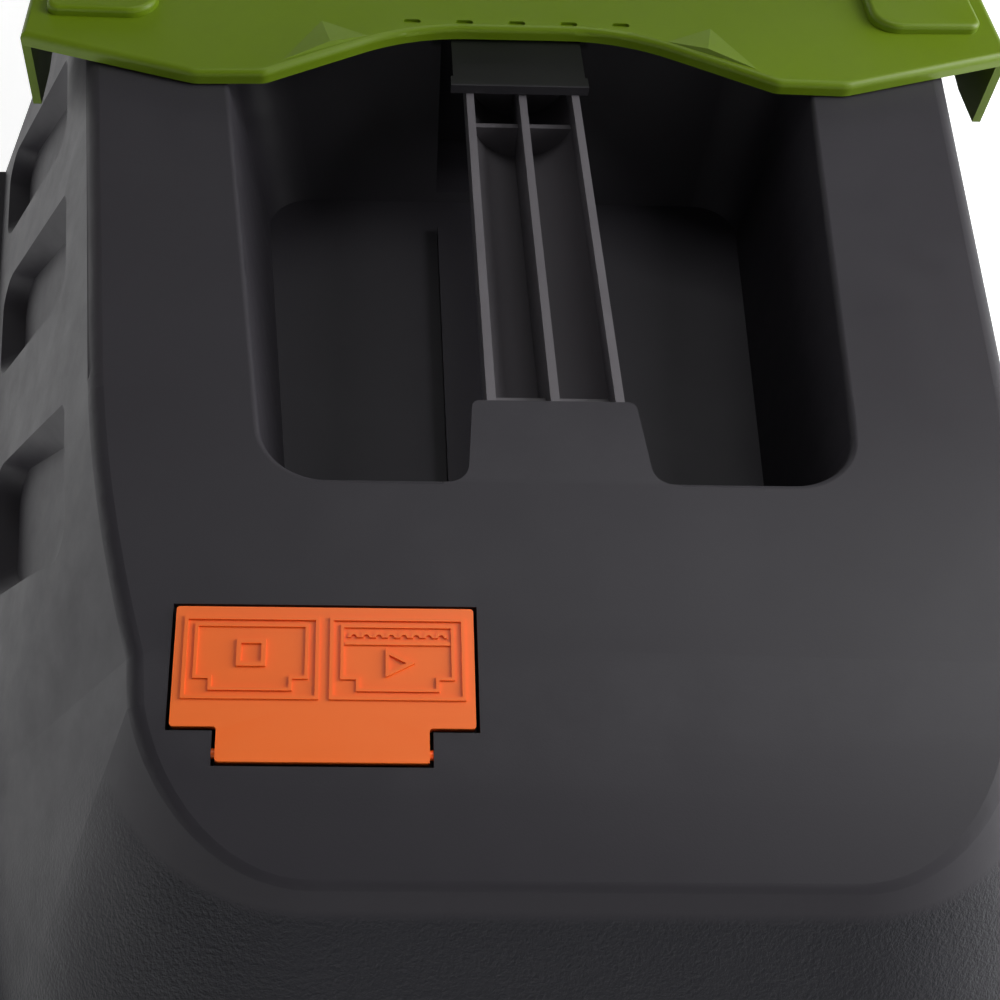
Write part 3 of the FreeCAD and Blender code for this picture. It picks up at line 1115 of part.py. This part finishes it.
def bail_bar():
    """Wire bail across the handle, with an eye on each pivot pin."""
    p = bail_pivot()
    a = math.radians(HANDLE_ANGLE - BAIL_ANGLE)
    reach = (-math.cos(a) * BAIL_REACH, math.sin(a) * BAIL_REACH)
    end = (p[1] + reach[0], p[2] + reach[1])
    start = (p[1] + reach[0] * 0.1, p[2] + reach[1] * 0.1)
    wire = round_bar([(-BAIL_X, start[0], start[1]), (-BAIL_X, end[0], end[1]), (BAIL_X, end[0], end[1]),
                      (BAIL_X, start[0], start[1])], BAIL_R, 24)
    eyes = [rod((s * BAIL_X - 4, p[1], p[2]), (s * BAIL_X + 4, p[1], p[2]), 9) for s in (-1, 1)]
    bar = fuse(wire, *eyes)
    return bar.cut(rod((-200, p[1], p[2]), (200, p[1], p[2]), 3.0 + RUN))


def bail_pins():
    p = bail_pivot()
    return Part.makeCompound([fuse(rod((s * (BAIL_X - 6), p[1], p[2]), (s * (UPPER_X + 5), p[1], p[2]), 3.0 - 0.02),
                                   rod((s * (BAIL_X - 8), p[1], p[2]), (s * (BAIL_X - 5), p[1], p[2]), 6))
                              for s in (-1, 1)])


def cable_entry():
    """Where the handle's lead would turn in to the hood's flank, and its end inside."""
    y = HANDLE_ROOT[0] - 23
    return (140, y, HOOD_TOP_Z - 48), (104, y, HOOD_TOP_Z - 54)


def cable_gland():
    start, end = Vector(*cable_entry()[0]), Vector(*cable_entry()[1])
    gland = rod(tuple(start + (end - start) * 0.28), tuple(start + (end - start) * 0.66), 7)
    return gland.cut(hood_body(-0.05)).cut(rod(tuple(start), tuple(end), CABLE_R + 0.05))


# ---- assembly -----------------------------------------------------------------------------------
def build():
    half_rear = wheel_x(DECK_HALF_REAR) + REAR_WHEEL_W - 5
    half_front = wheel_x(DECK_HALF_NOSE) + FRONT_WHEEL_W - 5
    parts = {
        "box_top_shell": box_top_shell, "box_bottom_shell": box_bottom_shell,
        "carry_handle": carry_handle, "handle_screws": handle_screws, "box_hooks": box_hooks,
        "fill_indicator": fill_indicator,
        "rear_flap": rear_flap, "flap_springs": flap_springs,
        "flap_hinge_rod": flap_hinge_rod,
        "deck_shell": deck_shell, "rear_plate": rear_plate, "chute_duct": chute_duct, "motor_hood": motor_hood,
        "battery_bay": battery_bay, "battery_terminals": battery_terminals, "battery_pack": battery_pack,
        "battery_release": battery_release, "safety_key": safety_key, "key_socket": key_socket,
        "controller_board": controller_board, "handle_brackets": handle_brackets, "lower_tubes": lower_tubes,
        "motor_can": motor_can, "stator": stator, "motor_flange": motor_flange, "motor_screws": motor_screws,
        "shaft_bearings": shaft_bearings, "motor_shaft": motor_shaft, "blade_holder": blade_holder,
        "cutting_blade": cutting_blade, "blade_bolt": blade_bolt, "blade_washer": blade_washer,
        "rear_axle": lambda: axle(REAR_AXLE_Y, REAR_WHEEL_R, half_rear),
        "front_axle": lambda: axle(FRONT_AXLE_Y, FRONT_WHEEL_R, half_front),
        "upper_handle_bar": upper_handle_bar, "foam_grip": foam_grip, "fold_bolts": fold_bolts,
        "switch_box": switch_box, "start_button": start_button, "bail_bar": bail_bar, "bail_pins": bail_pins,
        "bracket_bolts": bracket_bolts, "cable_gland": cable_gland,
    }
    for side, word in ((-1, "left"), (1, "right")):
        for place, y, r, w, half in (("rear", REAR_AXLE_Y, REAR_WHEEL_R, REAR_WHEEL_W, DECK_HALF_REAR),
                                     ("front", FRONT_AXLE_Y, FRONT_WHEEL_R, FRONT_WHEEL_W, DECK_HALF_NOSE)):
            parts[f"{place}_tyre_{word}"] = lambda s=side, y=y, r=r, w=w, h=half: tyre(s, y, r, r, w, h)
            parts[f"{place}_rim_{word}"] = lambda s=side, y=y, r=r, w=w, h=half: rim(s, y, r, r, w, h)
            parts[f"{place}_cap_{word}"] = lambda s=side, y=y, r=r, w=w, h=half: wheel_cap(s, y, r, w, h)
        parts[f"quick_lever_{word}"] = lambda s=side: quick_lever(s)
    return {name: make() for name, make in parts.items()}


def main():
    shapes = build()
    whole = FreeCAD.BoundBox()
    for shape in shapes.values():
        whole.add(shape.optimalBoundingBox(True, False))
    shift = Vector(-(whole.XMin + whole.XMax) / 2, -(whole.YMin + whole.YMax) / 2, -whole.ZMin)
    os.makedirs("parts", exist_ok=True)
    for name, shape in shapes.items():
        solids = Part.makeCompound(shape.Solids) if len(shape.Solids) > 1 else shape.Solids[0]
        solids.translate(shift)
        solids.exportStep(f"parts/{name}.step")
        if not solids.isValid():
            print("invalid", name)
    print("origin shift", [round(v, 3) for v in shift], "size", [round(v, 1) for v in
          (whole.XLength, whole.YLength, whole.ZLength)], "nodes", len(shapes))


if __name__ == "__main__":
    main()
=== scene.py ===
"""Looks, light and camera for the cordless mower, in metres in the CAD frame."""

import bpy
import math
from mathutils import Matrix, Vector


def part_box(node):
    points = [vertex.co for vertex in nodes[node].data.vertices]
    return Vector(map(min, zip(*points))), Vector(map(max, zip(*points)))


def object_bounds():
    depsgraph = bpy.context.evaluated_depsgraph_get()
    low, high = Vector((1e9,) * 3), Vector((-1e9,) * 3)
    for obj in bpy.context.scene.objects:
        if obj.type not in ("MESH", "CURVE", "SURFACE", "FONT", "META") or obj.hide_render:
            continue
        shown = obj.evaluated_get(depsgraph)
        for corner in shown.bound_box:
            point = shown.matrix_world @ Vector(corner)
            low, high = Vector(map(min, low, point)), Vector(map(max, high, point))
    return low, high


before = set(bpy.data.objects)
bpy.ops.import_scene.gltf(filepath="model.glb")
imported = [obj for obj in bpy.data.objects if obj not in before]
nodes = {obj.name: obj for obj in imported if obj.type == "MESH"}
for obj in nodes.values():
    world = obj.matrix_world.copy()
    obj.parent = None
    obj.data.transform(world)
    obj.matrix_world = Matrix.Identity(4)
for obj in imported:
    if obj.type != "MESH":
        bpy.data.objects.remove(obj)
cad_low, cad_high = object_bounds()


# ---- materials ----------------------------------------------------------------------------------
def new_material(name):
    material = bpy.data.materials.new(name)
    material.use_nodes = True
    tree = material.node_tree
    tree.nodes.clear()
    out = tree.nodes.new("ShaderNodeOutputMaterial")
    shader = tree.nodes.new("ShaderNodeBsdfPrincipled")
    tree.links.new(shader.outputs[0], out.inputs[0])
    return material, tree, shader


def noise(tree, coords, scale, detail=2.0, roughness=0.5, stretch=None):
    node = tree.nodes.new("ShaderNodeTexNoise")
    node.inputs["Scale"].default_value = scale
    node.inputs["Detail"].default_value = detail
    node.inputs["Roughness"].default_value = roughness
    source = coords
    if stretch:
        mapping = tree.nodes.new("ShaderNodeMapping")
        mapping.inputs["Scale"].default_value = stretch
        tree.links.new(coords, mapping.inputs["Vector"])
        source = mapping.outputs[0]
    tree.links.new(source, node.inputs["Vector"])
    return node.outputs["Fac"]


def remap(tree, value, low, high, to_low, to_high):
    node = tree.nodes.new("ShaderNodeMapRange")
    node.inputs["From Min"].default_value = low
    node.inputs["From Max"].default_value = high
    node.inputs["To Min"].default_value = to_low
    node.inputs["To Max"].default_value = to_high
    tree.links.new(value, node.inputs["Value"])
    return node.outputs[0]


def mix_colour(tree, factor, first, second):
    node = tree.nodes.new("ShaderNodeMix")
    node.data_type = "RGBA"
    for socket, colour in ((node.inputs["A"], first), (node.inputs["B"], second)):
        if isinstance(colour, tuple):
            socket.default_value = (*colour, 1)
        else:
            tree.links.new(colour, socket)
    tree.links.new(factor, node.inputs["Factor"])
    return node.outputs["Result"]


def bump(tree, height, strength, distance, normal=None):
    node = tree.nodes.new("ShaderNodeBump")
    node.inputs["Strength"].default_value = strength
    node.inputs["Distance"].default_value = distance
    tree.links.new(height, node.inputs["Height"])
    if normal is not None:
        tree.links.new(normal, node.inputs["Normal"])
    return node.outputs[0]


def linear(red, green, blue):
    """Linear colour of an sRGB one given in 0 to 255."""
    def one(value):
        value /= 255
        return value / 12.92 if value <= 0.04045 else ((value + 0.055) / 1.055) ** 2.4
    return one(red), one(green), one(blue)


def plastic(name, colour, rough, grain=0.25, grain_mm=0.6, wear=0.12, specular=0.5):
    """Moulded plastic: eroded grain, uneven gloss, faint flow mottling and paler rubbed edges."""
    material, tree, shader = new_material(name)
    coords = tree.nodes.new("ShaderNodeTexCoord").outputs["Object"]
    grain_field = noise(tree, coords, 1000 / grain_mm, 3.0, 0.6)
    broad = noise(tree, coords, 9, 3.0, 0.55)
    rubbed = noise(tree, coords, 60, 4.0, 0.65)
    shade = mix_colour(tree, remap(tree, broad, 0.3, 0.7, 0, 1), tuple(c * 0.93 for c in colour),
                       tuple(min(1, c * 1.07) for c in colour))
    geometry = tree.nodes.new("ShaderNodeNewGeometry")
    edge = remap(tree, geometry.outputs["Pointiness"], 0.515, 0.58, 0, wear)
    patchy = tree.nodes.new("ShaderNodeMath")
    patchy.operation = "MULTIPLY"
    tree.links.new(edge, patchy.inputs[0])
    tree.links.new(remap(tree, rubbed, 0.35, 0.65, 0.2, 1.0), patchy.inputs[1])
    pale = tuple(min(1, c * 1.5 + 0.05) for c in colour)
    tree.links.new(mix_colour(tree, patchy.outputs[0], shade, pale), shader.inputs["Base Color"])
    tree.links.new(remap(tree, rubbed, 0.25, 0.75, rough - 0.05, rough + 0.07), shader.inputs["Roughness"])
    shader.inputs["Specular IOR Level"].default_value = specular
    tree.links.new(bump(tree, grain_field, grain, grain_mm * 0.00025), shader.inputs["Normal"])
    return material


def metal(name, colour, rough, streak=(1, 1, 1), streak_scale=400, mottling=0.12, metallic=1.0):
    """Metal with fine tooling marks and uneven plating."""
    material, tree, shader = new_material(name)
    coords = tree.nodes.new("ShaderNodeTexCoord").outputs["Object"]
    marks = noise(tree, coords, streak_scale, 3.0, 0.6, streak)
    blotch = noise(tree, coords, 40, 3.0, 0.6)
    shade = mix_colour(tree, remap(tree, blotch, 0.3, 0.7, 0, 1), tuple(c * (1 - mottling) for c in colour),
                       tuple(min(1, c * (1 + mottling)) for c in colour))
    tree.links.new(shade, shader.inputs["Base Color"])
    shader.inputs["Metallic"].default_value = metallic
    tree.links.new(remap(tree, marks, 0.3, 0.7, rough - 0.06, rough + 0.1), shader.inputs["Roughness"])
    tree.links.new(bump(tree, marks, 0.12, 0.0002), shader.inputs["Normal"])
    return material


def rubber(name, colour, rough, grain_mm=0.8, grain=0.5):
    """Rubber or foam: dull, with pores and a dusty bloom."""
    material, tree, shader = new_material(name)
    coords = tree.nodes.new("ShaderNodeTexCoord").outputs["Object"]
    pores = noise(tree, coords, 1000 / grain_mm, 4.0, 0.7)
    dust = noise(tree, coords, 25, 4.0, 0.6)
    dusty = tuple(min(1, c * 1.5 + 0.012) for c in colour)
    tree.links.new(mix_colour(tree, remap(tree, dust, 0.4, 0.75, 0, 0.6), colour, dusty), shader.inputs["Base Color"])
    tree.links.new(remap(tree, dust, 0.3, 0.7, rough - 0.05, rough + 0.06), shader.inputs["Roughness"])
    shader.inputs["Specular IOR Level"].default_value = 0.35
    tree.links.new(bump(tree, pores, grain, grain_mm * 0.0003), shader.inputs["Normal"])
    return material


ANTHRACITE = linear(46, 44, 49)
DARK = linear(24, 23, 26)
GREEN = linear(96, 120, 8)
ORANGE = linear(255, 112, 30)

def zone(tree, within):
    """A soft mask for a box given in the node's own 0 to 1 extents, as (low, high, border) an axis."""
    split = tree.nodes.new("ShaderNodeSeparateXYZ")
    tree.links.new(tree.nodes.new("ShaderNodeTexCoord").outputs["Generated"], split.inputs[0])
    mask = None
    for axis, (low, high, border) in enumerate(within):
        for side in (remap(tree, split.outputs[axis], low - border, low, 0, 1),
                     remap(tree, split.outputs[axis], high, high + border, 1, 0)):
            if mask is None:
                mask = side
                continue
            product = tree.nodes.new("ShaderNodeMath")
            product.operation = "MULTIPLY"
            tree.links.new(mask, product.inputs[0])
            tree.links.new(side, product.inputs[1])
            mask = product.outputs[0]
    return mask


def recolour_zone(material, within, colour, grain_mm=None):
    """Another colour inside one zone of a finish, and a coarser moulded grain if one is given; used once for painted
    shade with a painted green reflection, once for a darker grained zone.
    """
    tree = material.node_tree
    shader = next(node for node in tree.nodes if node.type == "BSDF_PRINCIPLED")
    mask = zone(tree, within)
    before = shader.inputs["Base Color"].links[0].from_socket
    tree.links.new(mix_colour(tree, mask, before, colour), shader.inputs["Base Color"])
    if grain_mm:
        coords = tree.nodes.new("ShaderNodeTexCoord").outputs["Object"]
        field = noise(tree, coords, 1000 / grain_mm, 3.0, 0.7)
        normal = shader.inputs["Normal"].links[0].from_socket
        coarse = bump(tree, field, 0.0, grain_mm * 0.0005, normal)
        tree.links.new(mask, coarse.node.inputs["Strength"])
        tree.links.new(coarse, shader.inputs["Normal"])


satin_box = plastic("box_satin", ANTHRACITE, 0.5, grain=0.12, grain_mm=0.5, specular=0.3)
ribbed = plastic("grip_plastic", linear(92, 89, 93), 0.36, grain=0.08, grain_mm=0.4)
grained_box = plastic("box_grained", linear(34, 33, 39), 0.6, grain=0.7, grain_mm=0.9, wear=0.08, specular=0.3)
black = plastic("black_plastic", DARK, 0.45, grain=0.2)
deck_black = plastic("deck_plastic", linear(44, 44, 47), 0.42, grain=0.2, grain_mm=0.7)
green = plastic("green_plastic", GREEN, 0.4, grain=0.12, grain_mm=0.5, wear=0.10, specular=0.3)
orange = plastic("orange_plastic", ORANGE, 0.38, grain=0.08, grain_mm=0.4, wear=0.08)
wheel_grey = plastic("wheel_plastic", linear(52, 52, 55), 0.5, grain=0.25)
tyre_rubber = rubber("tyre_rubber", linear(27, 27, 28), 0.78)
foam = rubber("foam", linear(30, 30, 32), 0.9, grain_mm=1.4, grain=0.9)
tube_paint = metal("tube_paint", linear(30, 30, 32), 0.34, mottling=0.06, metallic=0.0)
zinc = metal("zinc_plate", linear(170, 168, 160), 0.32)
blade_steel = metal("blade_steel", linear(120, 120, 124), 0.38, streak=(1, 12, 12))
spring = metal("spring_steel", linear(150, 150, 152), 0.28)
motor_paint = metal("motor_paint", linear(96, 98, 102), 0.4)
cast = metal("cast_aluminium", linear(176, 177, 180), 0.45, streak_scale=900)
copper = metal("winding", linear(178, 104, 60), 0.35, streak=(1, 1, 20))
board = plastic("circuit_board", linear(20, 78, 40), 0.35, grain=0.1)

# Painted shade and painted reflection: the far tongue of the top shell, just behind the green flap, is painted
# near-black with a green cast in place of the flap's shadow and the flap's green reflection.
recolour_zone(satin_box, ((0.435, 0.565, 0.004), (0.812, 1.1, 0.004), (0.9, 1.1, 0.01)), linear(1, 3, 0))
recolour_zone(satin_box, ((-0.5, 1.5, 0.1), (-0.5, 0.19, 0.10), (-0.5, 0.745, 0.02)), linear(26, 26, 33), 1.1)

FINISH = {
    satin_box: ["box_top_shell"],
    grained_box: ["box_bottom_shell", "box_hooks"],
    ribbed: ["carry_handle"],
    black: ["rear_plate", "chute_duct", "battery_bay", "battery_pack", "key_socket",
            "handle_brackets", "blade_holder", "switch_box", "cable_gland"],
    deck_black: ["deck_shell"],
    green: ["rear_flap", "motor_hood"],
    orange: ["fill_indicator", "battery_release", "safety_key", "start_button", "quick_lever_left",
             "quick_lever_right"],
    foam: ["foam_grip"],
    tube_paint: ["lower_tubes", "upper_handle_bar", "bail_bar"],
    zinc: ["handle_screws", "flap_hinge_rod", "motor_screws", "shaft_bearings", "motor_shaft", "blade_bolt",
           "blade_washer", "rear_axle", "front_axle", "fold_bolts", "bail_pins", "bracket_bolts"],
    blade_steel: ["cutting_blade"],
    spring: ["flap_springs", "battery_terminals"],
    motor_paint: ["motor_can"],
    cast: ["motor_flange"],
    copper: ["stator"],
    board: ["controller_board"],
}
for end in ("rear", "front"):
    for side in ("left", "right"):
        FINISH.setdefault(tyre_rubber, []).append(f"{end}_tyre_{side}")
        FINISH.setdefault(wheel_grey, []).append(f"{end}_rim_{side}")
        FINISH[green].append(f"{end}_cap_{side}")

for material, names in FINISH.items():
    for name in names:
        slots = nodes[name].data.materials
        slots.clear()
        slots.append(material)


# ---- floor, light and camera --------------------------------------------------------------------
def studio():
    """A white sweep: a wide floor, and a low white wall around it at the horizon."""
    reach, height, sides = 12.0, 4.6, 64
    ring = [(reach * math.cos(2 * math.pi * i / sides), reach * math.sin(2 * math.pi * i / sides))
            for i in range(sides)]
    points = [(x, y, 0) for x, y in ring] + [(x, y, height) for x, y in ring]
    walls = [(i, (i + 1) % sides, sides + (i + 1) % sides, sides + i) for i in range(sides)]
    for name, faces, glow in (("floor", [tuple(range(sides))], 0.7), ("backdrop", walls, 0.26)):
        mesh = bpy.data.meshes.new(name)
        mesh.from_pydata(points, [], faces)
        sweep = bpy.data.objects.new(name, mesh)
        bpy.context.scene.collection.objects.link(sweep)
        material, tree, shader = new_material(name + "_paper")
        shader.inputs["Base Color"].default_value = (0.92, 0.92, 0.92, 1)
        shader.inputs["Roughness"].default_value = 0.9
        shader.inputs["Emission Color"].default_value = (1, 1, 1, 1)
        shader.inputs["Emission Strength"].default_value = glow
        mesh.materials.append(material)
        sweep.location.z = cad_low.z - 0.0005


def softbox(name, location, target, size, power):
    light = bpy.data.lights.new(name, "AREA")
    light.shape = "RECTANGLE"
    light.size, light.size_y = size
    light.energy = power
    lamp = bpy.data.objects.new(name, light)
    lamp.location = location
    lamp.rotation_euler = (Vector(target) - Vector(location)).to_track_quat("-Z", "Y").to_euler()
    lamp.visible_camera = False
    bpy.context.scene.collection.objects.link(lamp)


studio()
grip_low, grip_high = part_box("carry_handle")
focus = Vector((0, (grip_low.y + grip_high.y) / 2, grip_high.z))
softbox("key", focus + Vector((0.8, 0.0, 0.42)), focus, (0.5, 0.9), 12)
softbox("fill", focus + Vector((-2.0, -0.6, 1.0)), focus, (1.6, 1.6), 0.5)
softbox("overhead", focus + Vector((0.35, 0.75, 2.4)), focus, (1.4, 1.4), 13.5)

world = bpy.data.worlds.new("studio")
world.use_nodes = True
world.node_tree.nodes["Background"].inputs["Color"].default_value = (1, 1, 1, 1)
world.node_tree.nodes["Background"].inputs["Strength"].default_value = 0.08
bpy.context.scene.world = world


def camera():
    """Behind the box on its left, looking forward and steeply down at it."""
    down, turn, roll = math.radians(52.08), math.radians(2.08), math.radians(2.4)
    ahead = Vector((math.cos(down) * math.sin(turn), math.cos(down) * math.cos(turn), -math.sin(down)))
    level = Vector((math.cos(turn), -math.sin(turn), 0))
    above = level.cross(ahead)
    right = math.cos(roll) * level + math.sin(roll) * above
    up = -math.sin(roll) * level + math.cos(roll) * above
    lens = bpy.data.cameras.new("camera")
    lens.sensor_width = 36
    lens.lens = 50.0
    lens.shift_x = 0.12
    lens.clip_start, lens.clip_end = 0.02, 60
    seen = bpy.data.objects.new("camera", lens)
    rear_of_grip = Vector((0, grip_low.y + 0.0175, 0))
    place = rear_of_grip + Vector((-0.053, -0.245, 0.616))
    seen.matrix_world = Matrix.Translation(place) @ Matrix((right, up, -ahead)).transposed().to_4x4()
    bpy.context.scene.collection.objects.link(seen)
    bpy.context.scene.camera = seen


camera()
bpy.context.scene.view_settings.view_transform = "Standard"
